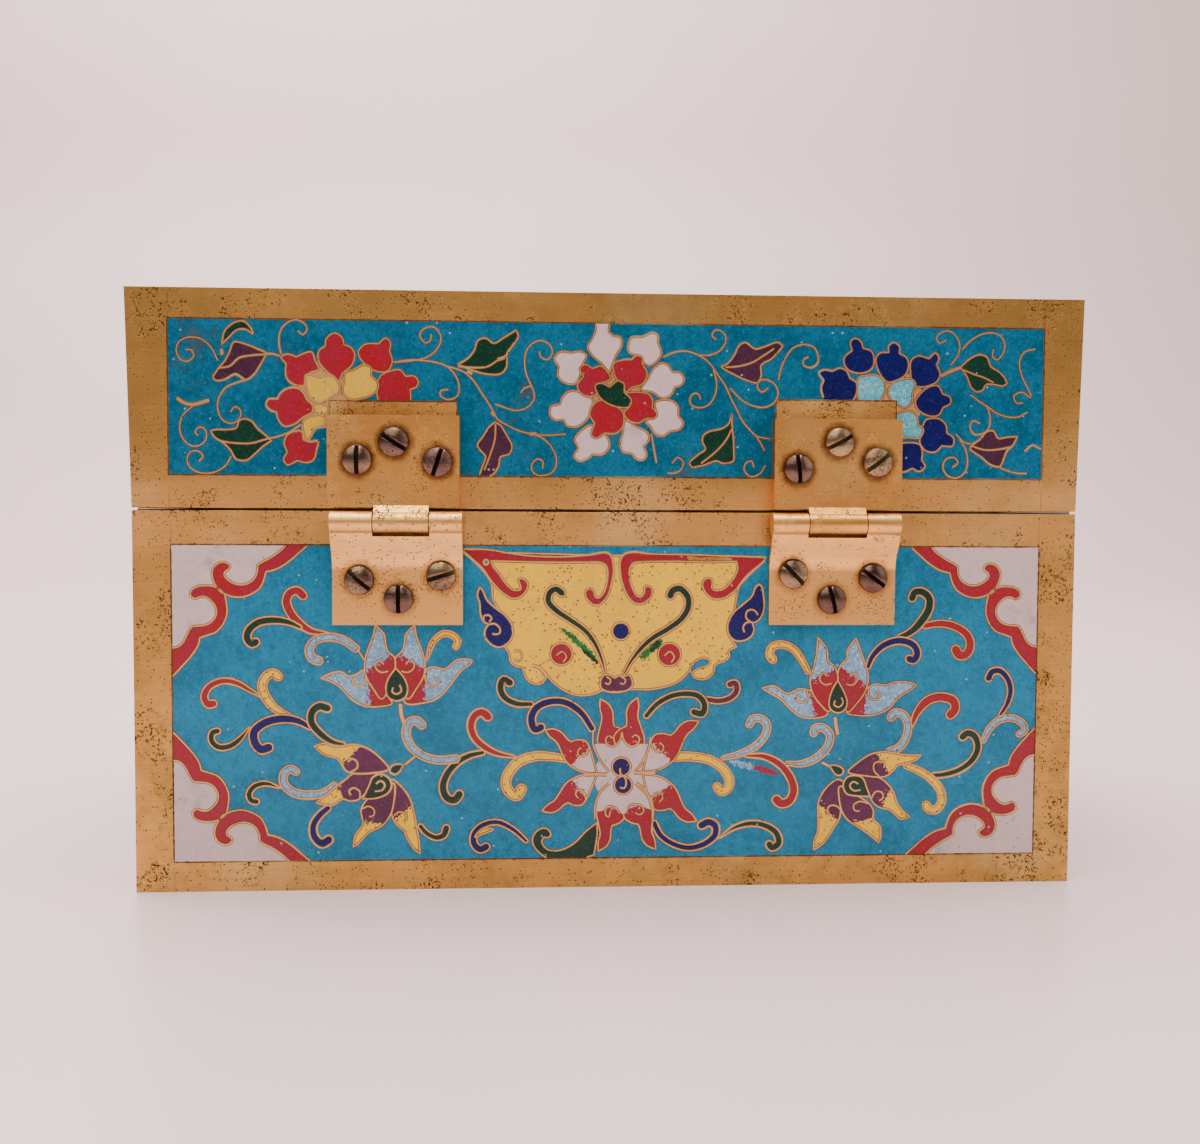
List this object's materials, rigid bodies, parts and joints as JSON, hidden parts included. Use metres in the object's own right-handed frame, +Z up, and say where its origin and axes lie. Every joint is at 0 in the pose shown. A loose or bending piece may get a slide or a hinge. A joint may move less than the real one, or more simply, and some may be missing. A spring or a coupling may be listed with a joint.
{
  "type": "hinged box",
  "caption": "Rectangular brass box inlaid with enamel panels of scrolling flowers, with a lid that opens back on screwed butt hinges.",
  "frame": {"origin": "centre of the underside of the box", "axes": "+Z up, +Y towards the hinges at the back, +X to the right of someone facing the front"},
  "size_m": [0.1536, 0.1067, 0.0959],
  "materials": {
    "brass": "brushed, rubbed and pitted",
    "hinge_brass": "satin",
    "enamel": "polished enamel with wire partitions",
    "screw_steel": "worn and tarnished"
  },
  "bodies": {
    "base": {"body_carcass": "brass", "body_enamel_back": "enamel", "body_enamel_front": "enamel", "body_enamel_left": "enamel", "body_enamel_right": "enamel", "right_hinge_lower_leaf": "hinge_brass", "right_hinge_pin": "hinge_brass", "right_hinge_lower_screw_1": "screw_steel", "right_hinge_lower_screw_2": "screw_steel", "right_hinge_lower_screw_3": "screw_steel", "left_hinge_lower_leaf": "hinge_brass", "left_hinge_pin": "hinge_brass", "left_hinge_lower_screw_1": "screw_steel", "left_hinge_lower_screw_2": "screw_steel", "left_hinge_lower_screw_3": "screw_steel"},
    "lid": {"lid_carcass": "brass", "lid_enamel_back": "enamel", "lid_enamel_front": "enamel", "lid_enamel_left": "enamel", "lid_enamel_right": "enamel", "lid_enamel_top": "enamel", "right_hinge_upper_leaf": "hinge_brass", "right_hinge_upper_screw_1": "screw_steel", "right_hinge_upper_screw_2": "screw_steel", "right_hinge_upper_screw_3": "screw_steel", "left_hinge_upper_leaf": "hinge_brass", "left_hinge_upper_screw_1": "screw_steel", "left_hinge_upper_screw_2": "screw_steel", "left_hinge_upper_screw_3": "screw_steel"}
  },
  "joints": [
    {"name": "lid_hinge", "type": "hinge", "parent": "base", "child": "lid", "pos_m": [0, 0.0539, 0.05925], "axis": [-1, 0, 0], "range_deg": [0, 145]}
  ]
}
